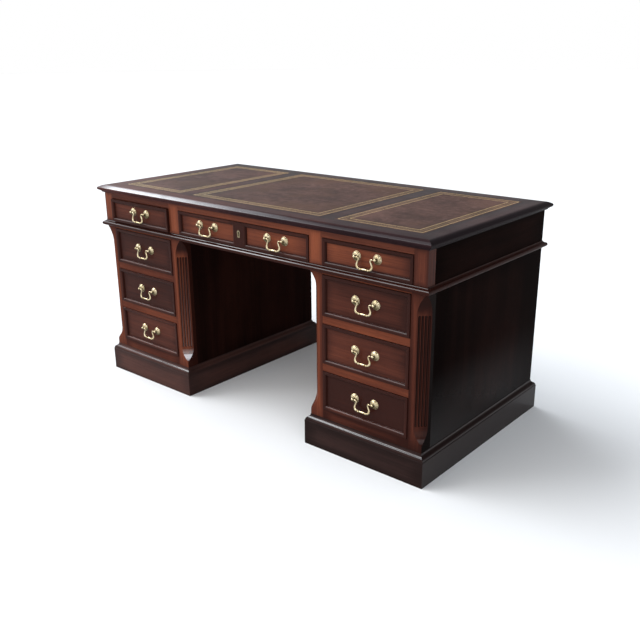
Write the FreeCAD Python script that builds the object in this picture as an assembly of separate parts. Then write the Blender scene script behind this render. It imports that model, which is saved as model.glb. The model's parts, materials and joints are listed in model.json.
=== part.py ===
import FreeCAD, Part
import math
import os

V = FreeCAD.Vector

# Pedestal desk, in millimetres. The front faces -Y, +Z is up, and the origin lies on the floor under the
# middle of the top. The top section is a case of its own that stands on the two pedestals.

# Overall size
top_width = 1524.0
top_depth = 756.0
desk_height = 760.0

# Top frame: its edge falls in a broad thumb curve to a nose, with a fillet and a cove underneath
top_thumb_run = 26.0
top_thumb_drop = 13.0
top_nose_radius = 6.5
top_ledge = 1.0
top_fillet = 2.0
top_cove = 5.5
top_overhang = 20.0
border_width = 76.0
band_width = 56.0
centre_leather_width = 610.0
leather_thickness = 1.2
panel_thickness = 16.0

# Frieze, the part of the top section between the top and the waist moulding
frieze_height = 108.0
frieze_stile_depth = 38.0
frieze_top_rail = 21.0
end_stile_width = 47.0
divider_width = 53.0
frieze_end_thickness = 20.0
frieze_back_thickness = 18.0

# Waist moulding: a half-round nose under a fillet and a cove; its foot laps the pedestals
waist_nose_radius = 7.5
waist_ledge = 0.8
waist_fillet = 1.5
waist_cove = 4.5
waist_toe = 1.2
waist_lap = 8.0

# Pedestals
pedestal_width = 434.0
side_thickness = 18.0
pedestal_back_thickness = 12.0
pedestal_top_rail = 15.0
drawer_rail = 26.0
bottom_rail_show = 32.0
drawers_per_pedestal = 3

# Fluted corner posts: a stopped chamfer that runs out in a hollow above and a tongue below
chamfer_leg = 31.0
post_flat = 21.0
post_return = 16.0
upper_runout = 66.0
lower_runout = 60.0
tongue_share = 0.28
tongue_rise = 15.0
flute_count = 4
flute_land = 2.2
flute_margin = 3.6
flute_inset = 2.0
flute_sides = 12

# Plinths and the ogee moulding on them, round below and hollow above
plinth_height = 87.0
plinth_thickness = 22.0
plinth_edge_chamfer = 1.5
plinth_moulding_height = 21.0
plinth_moulding_reach = 14.5
plinth_toe = 1.0

# Drawers
drawer_gap = 1.2
drawer_proud = 3.0
front_board = 16.0
frame_width = 14.0
frame_depth = 8.0
frame_lip = 1.5
centre_stile_width = 36.0
box_side_thickness = 10.0
box_back_thickness = 10.0
box_bottom_thickness = 6.0
box_bottom_rise = 5.0
box_side_drop = 8.0
drawer_back_space = 90.0
frieze_left_ajar = 6.0

# Runners carry the drawer sides, guides keep them straight and stops end their travel
runner_ledge = 14.0
runner_relief = 8.0
runner_clearance = 0.3
guide_height = 24.0
stop_length = 16.0
stop_height = 12.0

# Handles: turned posts on domed rosettes, and a swan-neck bail that hangs between them
post_spacing = 76.0
post_rise = 6.5
post_reach = 13.0
rosette_radius = 15.5
rosette_edge = 1.2
dome_radius = 11.5
dome_rise = 4.8
neck_radius = 4.2
neck_rise = 6.6
knob_radius = 6.2
knob_length = 9.0
knob_tip_radius = 3.8
turned_sides = 9
bail_wire_radius = 2.3
bail_bar_radius = 3.0
bail_sides = 6
pin_radius = 1.8
pin_clearance = 0.05
pin_depth = 4.0
bail_knob_gap = 0.5
bail_shoulder = 4.5
bail_neck_radius = 5.0
bail_neck_run = 10.5
bail_bow_radius = 12.0
bail_turn = 115.0
bail_arc_steps = 4

# Lock of the centre drawer
lock_width = 46.0
lock_height = 30.0
lock_thickness = 11.0
lock_top_drop = 1.0
bolt_width = 18.0
bolt_thickness = 6.0
bolt_height = 16.0
bolt_clearance = 0.3
bolt_throw = 7.0
mortise_margin = 1.0
escutcheon_radius = 7.0
escutcheon_length = 24.0
escutcheon_tail = 5.0
escutcheon_thickness = 1.2
keyhole_radius = 3.2
keyhole_slot = 1.5
keyhole_rise = 8.0
head_shoulder = 40.0
head_facets = 12

# Levels and planes that follow from the sizes above
top_thickness = top_thumb_drop + top_nose_radius + top_fillet + top_cove
top_under = desk_height - top_thickness
frieze_floor = top_under - frieze_height
waist_height = 2 * waist_nose_radius + waist_fillet + waist_cove
waist_projection = waist_toe + waist_cove + waist_ledge + waist_nose_radius
waist_bottom = frieze_floor - waist_height
pedestal_top = waist_bottom + waist_lap
carcass_width = top_width - 2 * top_overhang
carcass_depth = top_depth - 2 * top_overhang
front_y = -carcass_depth / 2
back_y = carcass_depth / 2
frame_back_y = front_y + frieze_stile_depth
post_width = chamfer_leg + post_flat
post_depth = chamfer_leg + post_return
post_back_y = front_y + post_depth
plinth_projection = plinth_moulding_reach + plinth_edge_chamfer
drawer_stack_low = plinth_height + plinth_moulding_height + bottom_rail_show
drawer_stack_high = pedestal_top - pedestal_top_rail
pedestal_opening = (
    drawer_stack_high - drawer_stack_low - (drawers_per_pedestal - 1) * drawer_rail
) / drawers_per_pedestal
runner_height = drawer_rail - runner_relief

nodes = {}


def box(x0, x1, y0, y1, z0, z1):
    return Part.makeBox(x1 - x0, y1 - y0, z1 - z0, V(x0, y0, z0))


def section(start, *steps):
    # closed moulding section: a point is (out, up), and a pair of points is an arc through one to the other
    edges = []
    here = V(0, -start[0], start[1])
    for step in steps + (start,):
        if isinstance(step[0], tuple):
            via, end = (V(0, -out, up) for out, up in step)
            edges.append(Part.Arc(here, via, end).toShape())
        else:
            end = V(0, -step[0], step[1])
            edges.append(Part.makeLine(here, end))
        here = end
    return Part.Face(Part.Wire(edges))


def eased(corner, opposite):
    # middle of the quarter round that stands in for a corner; opposite is the centre it is struck from
    share = 1 - math.sqrt(0.5)
    return (corner[0] + share * (opposite[0] - corner[0]), corner[1] + share * (opposite[1] - corner[1]))


def on_circle(centre, radius, degrees):
    angle = math.radians(degrees)
    return (centre[0] + radius * math.cos(angle), centre[1] + radius * math.sin(angle))


def mitred_lengths(profile, half_x, half_y):
    # four lengths of one section round a rectangle, cut at 45 degrees where they meet
    bounds = profile.BoundBox
    out, into = -bounds.YMin, bounds.YMax
    lengths = []
    for turn in range(4):
        half, run = (half_x, half_y) if turn % 2 else (half_y, half_x)
        bar = profile.translated(V(-run - out, -half, 0)).extrude(V(2 * (run + out), 0, 0))
        corners = [
            V(-run - out, -half - out, bounds.ZMin),
            V(run + out, -half - out, bounds.ZMin),
            V(run - into, into - half, bounds.ZMin),
            V(into - run, into - half, bounds.ZMin),
        ]
        wedge = Part.Face(Part.makePolygon(corners + corners[:1])).extrude(V(0, 0, bounds.ZLength))
        length = bar.common(wedge).Solids[0]
        lengths.append(length.rotate(V(0, 0, 0), V(0, 0, 1), turn * 90))
    return lengths


def skinned(rings):
    # closed solid through rings of points, flat faced, with the first and last ring as its ends
    faces = [Part.Face(Part.makePolygon(ring + ring[:1])) for ring in (rings[0], rings[-1])]
    for near, far in zip(rings, rings[1:]):
        for i in range(len(near)):
            j = (i + 1) % len(near)
            faces.append(Part.Face(Part.makePolygon([near[i], near[j], far[j], far[i], near[i]])))
    shell = Part.makeShell(faces)
    shell.sewShape()
    solid = Part.makeSolid(shell)
    if solid.Volume < 0:
        solid.reverse()
    return solid


def build_top():
    half_x, half_y = top_width / 2, top_depth / 2
    run, drop, radius = top_thumb_run, top_thumb_drop, top_nose_radius
    # the broad arc leaves the flat level and runs into the nose where their centres line up
    thumb = ((run - radius) ** 2 / (drop - radius) + drop + radius) / 2
    meet = math.degrees(math.atan2(thumb - drop, run - radius))
    thumb_centre, nose_centre = (-run, -thumb), (-radius, -drop)
    fillet_x = -radius - top_ledge
    cove_head = top_cove - top_thickness
    cove_in = fillet_x - top_cove
    edge = section(
        (-border_width, 0),
        (-run, 0),
        (on_circle(thumb_centre, thumb, (90 + meet) / 2), on_circle(thumb_centre, thumb, meet)),
        (on_circle(nose_centre, radius, (meet - 90) / 2), (-radius, -drop - radius)),
        (fillet_x, -drop - radius),
        (fillet_x, cove_head),
        (eased((cove_in, cove_head), (fillet_x, -top_thickness)), (cove_in, -top_thickness)),
        (-border_width, -top_thickness),
    )
    frame = [length.translated(V(0, 0, desk_height)) for length in mitred_lengths(edge, half_x, half_y)]
    inner_x, inner_y = half_x - border_width, half_y - border_width
    band_in = centre_leather_width / 2
    band_out = band_in + band_width
    for side in (-1, 1):
        ends = sorted((side * band_in, side * band_out))
        frame.append(box(ends[0], ends[1], -inner_y, inner_y, top_under, desk_height))
    bays = ((-inner_x, -band_out), (-band_in, band_in), (band_out, inner_x))
    bed = desk_height - leather_thickness
    nodes["top_frame"] = frame
    nodes["top_panels"] = [box(a, b, -inner_y, inner_y, bed - panel_thickness, bed) for a, b in bays]
    nodes["writing_leathers"] = [box(a, b, -inner_y, inner_y, bed, desk_height) for a, b in bays]


def waist_section():
    nose_x = waist_projection - waist_nose_radius
    cove_x = waist_toe + waist_cove
    cove_foot = waist_height - waist_cove
    return section(
        (0, 0),
        (nose_x, 0),
        ((waist_projection, waist_nose_radius), (nose_x, 2 * waist_nose_radius)),
        (cove_x, 2 * waist_nose_radius),
        (cove_x, cove_foot),
        (eased((waist_toe, cove_foot), (cove_x, waist_height)), (waist_toe, waist_height)),
        (0, waist_height),
    )


def frieze_openings():
    half = carcass_width / 2
    inner = half - pedestal_width
    outer = half - end_stile_width
    divider = inner + divider_width
    return (
        ("frieze_left", -outer, -divider),
        ("frieze_centre", -inner, inner),
        ("frieze_right", divider, outer),
    )


def build_frieze():
    half = carcass_width / 2
    opening_top = top_under - frieze_top_rail
    openings = frieze_openings()
    edges = [-half] + [x for _, a, b in openings for x in (a, b)] + [half]
    frame = [box(-half, half, front_y, frame_back_y, pedestal_top, frieze_floor)]
    for a, b in zip(edges[0::2], edges[1::2]):
        frame.append(box(a, b, front_y, frame_back_y, frieze_floor, top_under))
    for _, a, b in openings:
        rail = box(a, b, front_y, frame_back_y, opening_top, top_under)
        if a < 0 < b:
            rail = rail.cut(bolt_mortise(opening_top))
        frame.append(rail)
    nodes["frieze_front_frame"] = frame

    inner = half - frieze_end_thickness
    inner_back = back_y - frieze_back_thickness
    ends = ((-half, -inner), (inner, half))
    nodes["frieze_ends"] = [box(a, b, frame_back_y, back_y, pedestal_top, top_under) for a, b in ends]
    nodes["frieze_back"] = [box(-inner, inner, inner_back, back_y, pedestal_top, top_under)]

    tail = inner_back - drawer_back_space
    bearers = []
    supports = [-inner] + edges[1:-1] + [inner]
    for a, b in zip(supports[0::2], supports[1::2]):
        low = a if a == -inner else a - runner_ledge
        high = b if b == inner else b + runner_ledge
        bearers.append(box(low, high, frame_back_y, inner_back, pedestal_top, frieze_floor))
        bearers.append(box(a, b, frame_back_y, inner_back, frieze_floor, frieze_floor + guide_height))
        for x0, x1 in ((low, a), (b, high)):
            if x1 > x0:
                bearers.append(stop_block(x0, x1, tail, frieze_floor))
    nodes["frieze_runners"] = bearers

    ring = mitred_lengths(waist_section(), half, back_y)
    nodes["waist_moulding"] = [length.translated(V(0, 0, waist_bottom)) for length in ring]

    ajar = {"frieze_left": frieze_left_ajar}
    for name, a, b in openings:
        fields = 2 if a < 0 < b else 1
        build_drawer(name, a, b, frieze_floor, opening_top, tail, fields, ajar.get(name, 0.0))


def stop_block(x0, x1, tail, floor):
    near = tail + runner_clearance
    return box(x0, x1, near, near + stop_length, floor, floor + stop_height)


def chamfer_cutter(low, high):
    # what the stopped chamfer takes off a corner; X points out of the corner along its diagonal
    depth = chamfer_leg / math.sqrt(2)
    sweep = (lower_runout**2 + depth**2) / (2 * depth)
    tongue, hollow = tongue_share * sweep, (1 - tongue_share) * sweep
    half_turn = math.asin(lower_runout / sweep) / 2
    arch = (upper_runout**2 + depth**2) / (2 * depth)
    arch_half_turn = math.asin(upper_runout / arch) / 2
    foot, head = low + lower_runout, high - upper_runout

    def at(x, z):
        return V(x, 0, z)

    turn_point = at(-tongue_share * depth, low + tongue_share * lower_runout)
    tongue_mid = at(tongue * (math.cos(half_turn) - 1), low + tongue * math.sin(half_turn))
    hollow_mid = at(hollow * (1 - math.cos(half_turn)) - depth, foot - hollow * math.sin(half_turn))
    arch_mid = at(arch * (1 - math.cos(arch_half_turn)) - depth, head + arch * math.sin(arch_half_turn))
    edges = [
        Part.Arc(at(0, low), tongue_mid, turn_point).toShape(),
        Part.Arc(turn_point, hollow_mid, at(-depth, foot)).toShape(),
        Part.makeLine(at(-depth, foot), at(-depth, head)),
        Part.Arc(at(-depth, head), arch_mid, at(0, high)).toShape(),
        Part.makeLine(at(0, high), at(depth, high)),
        Part.makeLine(at(depth, high), at(depth, low)),
        Part.makeLine(at(depth, low), at(0, low)),
    ]
    cutters = [Part.Face(Part.Wire(edges)).translated(V(0, -2 * depth, 0)).extrude(V(0, 4 * depth, 0))]

    face_width = chamfer_leg * math.sqrt(2)
    lands = (flute_count - 1) * flute_land
    radius = (face_width - 2 * flute_margin - lands) / (2 * flute_count)
    pitch = 2 * radius + flute_land
    flute_low, flute_high = foot + flute_inset + radius, head - flute_inset - radius
    for k in range(flute_count):
        across = (k - (flute_count - 1) / 2) * pitch
        cutters.append(gouge(radius, flute_low, flute_high).translated(V(-depth, across, 0)))
    return cutters


def gouge(radius, low, high):
    # flat-faced round bar with rounded ends, as the hollow of a flute
    rings = []
    for base, side, angles in ((low, -1, (70, 40, 0)), (high, 1, (0, 40, 70))):
        for angle in angles:
            reach, rise = on_circle((0, 0), radius, angle)
            ring = [on_circle((0, 0), reach, k * 360 / flute_sides) for k in range(flute_sides)]
            rings.append([V(x, y, base + side * rise) for x, y in ring])
    return skinned(rings)


def fluted_post(corner_x, side):
    ends = sorted((corner_x, corner_x - side * post_width))
    post = box(ends[0], ends[1], front_y, post_back_y, plinth_height, pedestal_top)
    low = plinth_height + plinth_moulding_height + tongue_rise
    diagonal = -45 if side > 0 else -135
    cutters = chamfer_cutter(low, pedestal_top - waist_lap)
    for cutter in cutters:
        cutter.rotate(V(0, 0, 0), V(0, 0, 1), diagonal)
        cutter.translate(V(corner_x, front_y, 0))
    return post.cut(cutters).Solids[0]


def plinth_lengths(centre_x):
    reach, height = plinth_projection, plinth_height
    into = plinth_projection - plinth_thickness
    board = section(
        (into, 0),
        (reach, 0),
        (reach, height - plinth_edge_chamfer),
        (reach - plinth_edge_chamfer, height),
        (into, height),
    )
    # the round and the hollow of the ogee have one radius and meet half way, upright at both ends
    foot_x, top = plinth_moulding_reach, plinth_moulding_height
    bend = 2 * math.atan2(foot_x - plinth_toe, top)
    radius = top / (2 * math.sin(bend))
    sweep = math.degrees(bend)
    round_centre, hollow_centre = (foot_x - radius, 0), (plinth_toe + radius, top)
    moulding = section(
        (0, 0),
        (foot_x, 0),
        (on_circle(round_centre, radius, sweep / 2), on_circle(round_centre, radius, sweep)),
        (on_circle(hollow_centre, radius, 180 + sweep / 2), (plinth_toe, top)),
        (0, top),
    )
    half_x, half_y = pedestal_width / 2, carcass_depth / 2
    boards = mitred_lengths(board, half_x, half_y)
    mouldings = [length.translated(V(0, 0, height)) for length in mitred_lengths(moulding, half_x, half_y)]
    return [length.translated(V(centre_x, 0, 0)) for length in boards + mouldings]


def build_pedestal(side, label):
    centre_x = side * (carcass_width - pedestal_width) / 2
    x0, x1 = centre_x - pedestal_width / 2, centre_x + pedestal_width / 2
    inner0, inner1 = x0 + side_thickness, x1 - side_thickness
    open0, open1 = x0 + post_width, x1 - post_width
    inner_back = back_y - pedestal_back_thickness
    tail = inner_back - drawer_back_space
    walls = ((x0, inner0), (inner1, x1))
    nodes[f"{label}_sides"] = [box(a, b, post_back_y, back_y, plinth_height, pedestal_top) for a, b in walls]
    nodes[f"{label}_back"] = [box(inner0, inner1, inner_back, back_y, plinth_height, pedestal_top)]
    nodes[f"{label}_fluted_posts"] = [fluted_post(x0, -1), fluted_post(x1, 1)]
    nodes[f"{label}_plinth"] = plinth_lengths(centre_x)

    rails = [box(open0, open1, front_y, post_back_y, drawer_stack_high, pedestal_top)]
    bearers = []
    floor = drawer_stack_low
    rail_low = plinth_height
    for tier in ("lower", "middle", "upper")[:drawers_per_pedestal]:
        rails.append(box(open0, open1, front_y, post_back_y, rail_low, floor))
        for wall, edge, ledge in ((inner0, open0, runner_ledge), (inner1, open1, -runner_ledge)):
            a, b = sorted((wall, edge))
            low, high = min(wall, edge + ledge), max(wall, edge + ledge)
            bearers.append(box(low, high, post_back_y, inner_back, floor - runner_height, floor))
            bearers.append(box(a, b, post_back_y, inner_back, floor, floor + guide_height))
            a, b = sorted((edge, edge + ledge))
            bearers.append(stop_block(a, b, tail, floor))
        build_drawer(f"{label}_{tier}", open0, open1, floor, floor + pedestal_opening, tail)
        rail_low = floor + pedestal_opening
        floor = rail_low + drawer_rail
    nodes[f"{label}_rails"] = rails
    nodes[f"{label}_runners"] = bearers


def frame_section():
    return section(
        (0, 0),
        (frame_width, 0),
        (frame_width, frame_depth),
        (frame_depth, frame_depth),
        (eased((frame_lip, frame_depth), (frame_depth, frame_lip)), (frame_lip, frame_lip)),
        (0, frame_lip),
    )


def build_drawer(name, x0, x1, z0, z1, tail, fields=1, ajar=0.0):
    left, right = x0 + drawer_gap, x1 - drawer_gap
    low, high = z0 + drawer_gap, z1 - drawer_gap
    middle = (low + high) / 2
    face_y = front_y - drawer_proud - ajar
    field_y = face_y + frame_depth
    board_back = field_y + front_board
    end_y = tail - ajar

    front = [box(left, right, field_y, board_back, low, high)]
    bay = (right - left - (fields - 1) * centre_stile_width) / fields
    centres = [left + bay / 2 + k * (bay + centre_stile_width) for k in range(fields)]
    for x in centres:
        for length in mitred_lengths(frame_section(), bay / 2 - frame_width, (high - low) / 2 - frame_width):
            length.rotate(V(0, 0, 0), V(1, 0, 0), 90)
            front.append(length.translated(V(x, field_y, middle)))
    for x in centres[1:]:
        stile = x - bay / 2 - centre_stile_width
        front.append(box(stile, stile + centre_stile_width, face_y, field_y, low, high))
    nodes[f"{name}_drawer_front"] = front

    floor, rim = z0 + runner_clearance, z1 - box_side_drop
    inner0, inner1 = left + box_side_thickness, right - box_side_thickness
    bottom = floor + box_bottom_rise
    bed = bottom + box_bottom_thickness
    nodes[f"{name}_drawer_box"] = [
        box(left, inner0, board_back, end_y, floor, rim),
        box(inner1, right, board_back, end_y, floor, rim),
        box(inner0, inner1, end_y - box_back_thickness, end_y, bed, rim),
        box(inner0, inner1, board_back, end_y, bottom, bed),
    ]

    pivot = V(0, field_y - post_reach, middle + post_rise)
    posts = []
    for x in centres:
        posts += [handle_post(x + s * post_spacing / 2, field_y, pivot.z, -s) for s in (-1, 1)]
    nodes[f"{name}_handle_posts"] = posts
    bails = [f"{name}_bail"] if fields == 1 else [f"{name}_left_bail", f"{name}_right_bail"]
    for bail_name, x in zip(bails, centres):
        nodes[bail_name] = [swan_neck_bail().translated(V(x, pivot.y, pivot.z))]
    if fields > 1:
        build_lock(board_back, face_y, high, middle)


def handle_post(x, field_y, z, inward):
    # turned form: rosette, dome, neck and knob, as (radius, distance from the field)
    outline = (
        (rosette_radius, 0.0),
        (rosette_radius, rosette_edge),
        (dome_radius, dome_rise),
        (neck_radius, neck_rise),
        (knob_radius, post_reach - knob_length / 4),
        (knob_radius, post_reach + knob_length / 4),
        (knob_tip_radius, post_reach + knob_length / 2),
    )
    rings = []
    for radius, rise in outline:
        ring = [on_circle((x, z), radius, (k + 0.5) * 360 / turned_sides) for k in range(turned_sides)]
        rings.append([V(across, field_y - rise, up) for across, up in ring])
    post = skinned(rings)
    hole = pin_radius + pin_clearance
    corner = hole / math.cos(math.pi / bail_sides)
    start = x + inward * 2 * knob_radius
    stop = x + inward * (knob_radius - pin_depth - bail_knob_gap)
    ring = [on_circle((field_y - post_reach, z), corner, k * 360 / bail_sides) for k in range(bail_sides)]
    drill = skinned([[V(start, y, up) for y, up in ring], [V(stop, y, up) for y, up in ring]])
    return post.cut(drill).Solids[0]


def swan_neck_path():
    # right half of the bail from its pin to the middle of the bar, as (point, heading) in the X and Z plane
    x, z, heading = post_spacing / 2 - knob_radius - bail_knob_gap, 0.0, 180.0
    path = [(x, z, heading)]

    def forward(length):
        end = on_circle((path[-1][0], path[-1][1]), length, path[-1][2])
        path.append((end[0], end[1], path[-1][2]))

    def turn(radius, degrees):
        side = 1 if degrees > 0 else -1
        x, z, heading = path[-1]
        centre = on_circle((x, z), radius, heading + side * 90)
        for k in range(1, bail_arc_steps + 1):
            now = heading + degrees * k / bail_arc_steps
            point = on_circle(centre, radius, now - side * 90)
            path.append((point[0], point[1], now))

    forward(bail_shoulder)
    turn(bail_neck_radius, bail_turn)
    forward(bail_neck_run)
    turn(bail_bow_radius, -bail_turn)
    return path


def swan_neck_bail():
    half = swan_neck_path()
    mirrored = [(-x, z, 360 - heading) for x, z, heading in reversed(half)]
    path = half + mirrored

    def ring(x, z, heading, radius):
        side = math.radians(heading + 90)
        points = []
        for k in range(bail_sides):
            angle = 2 * math.pi * k / bail_sides
            out, front = radius * math.cos(angle), radius * math.sin(angle)
            points.append(V(x + out * math.cos(side), front, z + out * math.sin(side)))
        return points

    first, last = path[0], path[-1]
    rings = [
        ring(first[0] + pin_depth, first[1], first[2], pin_radius),
        ring(first[0], first[1], first[2], pin_radius),
    ]
    neck_end = bail_arc_steps + 2
    for i, (x, z, heading) in enumerate(path):
        stout = neck_end <= i < len(path) - neck_end
        rings.append(ring(x, z, heading, bail_bar_radius if stout else bail_wire_radius))
    rings += [
        ring(last[0], last[1], last[2], pin_radius),
        ring(last[0] - pin_depth, last[1], last[2], pin_radius),
    ]
    return skinned(rings)


def bolt_bounds(board_back, top):
    near = board_back + (lock_thickness - bolt_thickness) / 2
    return (-bolt_width / 2, bolt_width / 2, near, near + bolt_thickness, top - bolt_height, top)


def bolt_mortise(opening_top):
    board_back = front_y - drawer_proud + frame_depth + front_board
    x0, x1, y0, y1, _, top = bolt_bounds(board_back, opening_top)
    m = mortise_margin
    return box(x0 - m, x1 + m, y0 - m, y1 + m, top, top + bolt_throw + m)


def build_lock(board_back, face_y, front_top, middle):
    top = front_top - lock_top_drop
    x0, x1, y0, y1, z0, z1 = bolt_bounds(board_back, top)
    c = bolt_clearance
    half = lock_width / 2
    case = box(-half, half, board_back, board_back + lock_thickness, top - lock_height, top)
    well = box(x0 - c, x1 + c, y0 - c, y1 + c, z0 - c - bolt_throw, z1)
    nodes["drawer_lock"] = [case.cut(well)]
    nodes["lock_bolt"] = [box(x0, x1, y0, y1, z0, z1)]

    # the plate is a round head with a tail that narrows downwards, pierced by a keyhole
    head = V(0, face_y, middle + keyhole_rise)
    tip = head.z + escutcheon_radius - escutcheon_length
    plate = keyhole_blank(head, escutcheon_radius, escutcheon_tail, tip)
    slot_end = tip + escutcheon_radius - keyhole_radius
    nodes["keyhole_escutcheon"] = [plate.cut(keyhole_blank(head, keyhole_radius, keyhole_slot, slot_end))]


def keyhole_blank(head, radius, tail, tip):
    # round head from one shoulder over to the other, then straight down to the foot of the tail
    start, step = -head_shoulder, (180 + 2 * head_shoulder) / head_facets
    rim = [on_circle((head.x, head.z), radius, start + k * step) for k in range(head_facets + 1)]
    outline = [(tail, tip)] + rim + [(-tail, tip)]
    corners = [V(across, head.y, up) for across, up in outline]
    return Part.Face(Part.makePolygon(corners + corners[:1])).extrude(V(0, -escutcheon_thickness, 0))


build_top()
build_frieze()
build_pedestal(-1, "left_pedestal")
build_pedestal(1, "right_pedestal")

os.makedirs("parts", exist_ok=True)
for name, solids in nodes.items():
    Part.makeCompound(solids).exportStep(f"parts/{name}.step")
count = sum(len(solids) for solids in nodes.values())
print(f"{len(nodes)} nodes, {count} solids, pedestal drawer opening {pedestal_opening:.1f} mm high")
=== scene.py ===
import json
import math

import bmesh
import bpy
import numpy as np
from mathutils import Matrix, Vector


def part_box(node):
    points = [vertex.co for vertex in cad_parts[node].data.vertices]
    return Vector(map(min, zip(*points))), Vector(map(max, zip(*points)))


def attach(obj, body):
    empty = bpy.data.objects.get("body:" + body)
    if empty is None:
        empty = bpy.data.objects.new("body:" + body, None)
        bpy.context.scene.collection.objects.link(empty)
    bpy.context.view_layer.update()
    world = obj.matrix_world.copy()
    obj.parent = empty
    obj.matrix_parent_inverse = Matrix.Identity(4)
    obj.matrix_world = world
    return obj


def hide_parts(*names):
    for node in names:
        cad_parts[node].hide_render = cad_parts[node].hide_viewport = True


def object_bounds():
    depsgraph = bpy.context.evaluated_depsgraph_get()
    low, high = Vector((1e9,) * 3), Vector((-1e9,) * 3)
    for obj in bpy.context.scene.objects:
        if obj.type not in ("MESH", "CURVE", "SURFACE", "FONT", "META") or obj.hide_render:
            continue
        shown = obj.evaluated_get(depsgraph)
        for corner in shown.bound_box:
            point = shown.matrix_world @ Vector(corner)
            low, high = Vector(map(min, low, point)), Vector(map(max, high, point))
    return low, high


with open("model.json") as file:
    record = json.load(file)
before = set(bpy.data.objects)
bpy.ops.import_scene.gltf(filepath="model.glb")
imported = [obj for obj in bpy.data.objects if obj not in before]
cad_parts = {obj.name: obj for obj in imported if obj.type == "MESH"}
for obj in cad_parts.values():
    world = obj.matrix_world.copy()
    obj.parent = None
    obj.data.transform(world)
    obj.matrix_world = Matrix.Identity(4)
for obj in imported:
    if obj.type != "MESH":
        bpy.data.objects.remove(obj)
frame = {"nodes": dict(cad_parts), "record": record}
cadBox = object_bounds()
nodeBody = {node: body for body, nodes in frame["record"]["behaviour"]["bodies"].items() for node in nodes}


class Wire:  # a shader value that takes part in plain Python sums
    def __init__(self, graph, socket):
        self.graph, self.socket = graph, socket

    def math(self, operation, *others):
        return self.graph.node("ShaderNodeMath", {"operation": operation}, dict(enumerate((self, *others))))

    def __add__(self, other):
        return self.math("ADD", other)

    def __sub__(self, other):
        return self.math("SUBTRACT", other)

    def __rsub__(self, other):
        return self.graph.node("ShaderNodeMath", {"operation": "SUBTRACT"}, {0: other, 1: self})

    def __mul__(self, other):
        return self.math("MULTIPLY", other)

    __radd__, __rmul__ = __add__, __mul__

    def ramp(self, low, high):  # 0 below low, 1 above high, eased between
        return self.graph.node("ShaderNodeMapRange", {"interpolation_type": "SMOOTHSTEP"},
                               {"Value": self, "From Min": low, "From Max": high})

    def near(self, value, width, core=0.6):  # 1 within a core of the value, 0 a width away from it
        return 1 - (self - value).math("ABSOLUTE").ramp(width * core, width)

    def tint(self, low, high):  # colour from low to high, by a Mix node's inputs 6 and 7 and output 2
        return self.graph.node("ShaderNodeMix", {"data_type": "RGBA"}, {0: self, 6: low, 7: high}, 2)


class Graph:  # a node tree that adds any node from its type, settings and inputs
    def __init__(self, tree):
        self.tree = tree

    def node(self, kind, settings, sockets, pick=0):
        made = self.tree.nodes.new(kind)
        for key, value in settings.items():
            setattr(made, key, value)
        for key, value in sockets.items():
            self.feed(made.inputs[key], value)
        return Wire(self, made.outputs[pick])

    def feed(self, socket, value):
        if isinstance(value, Wire):
            self.tree.links.new(value.socket, socket)
        else:
            socket.default_value = value + (1.0,) if socket.type == "RGBA" and len(value) == 3 else value

    def part(self, vector, axis):  # one coordinate of a vector
        return self.node("ShaderNodeSeparateXYZ", {}, {"Vector": vector}, axis)


class Finish(Graph):  # a Principled material with fixed sockets set directly and varying ones wired in
    def __init__(self, name, fixed):
        self.material = bpy.data.materials.new(name)
        self.material.use_nodes = True
        super().__init__(self.material.node_tree)
        self.gloss = self.tree.nodes["Principled BSDF"]
        self.wear(fixed)

    def wear(self, sockets):
        for key, value in sockets.items():
            self.feed(self.gloss.inputs[key], value)

    def noise(self, where, stretch, detail, rough):  # cloud stretched by cycles per metre on each axis
        spread = self.node("ShaderNodeMapping", {}, {"Vector": where, "Scale": stretch})
        return self.node("ShaderNodeTexNoise", {},
                         {"Vector": spread, "Scale": 1.0, "Detail": detail, "Roughness": rough})

    def attribute(self, name, pick="Fac"):
        return self.node("ShaderNodeAttribute", {"attribute_name": name}, {}, pick)

    def place(self):
        return self.node("ShaderNodeTexCoord", {}, {}, "Object")

    def bump(self, height, depth, strength):
        return self.node("ShaderNodeBump", {}, {"Height": height, "Distance": depth, "Strength": strength})


# In each finish below a noise is its cycles per metre on three axes, its detail and its roughness.
# A band is the pair of values between which a mark fades in, and a share is how strong it is.

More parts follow.
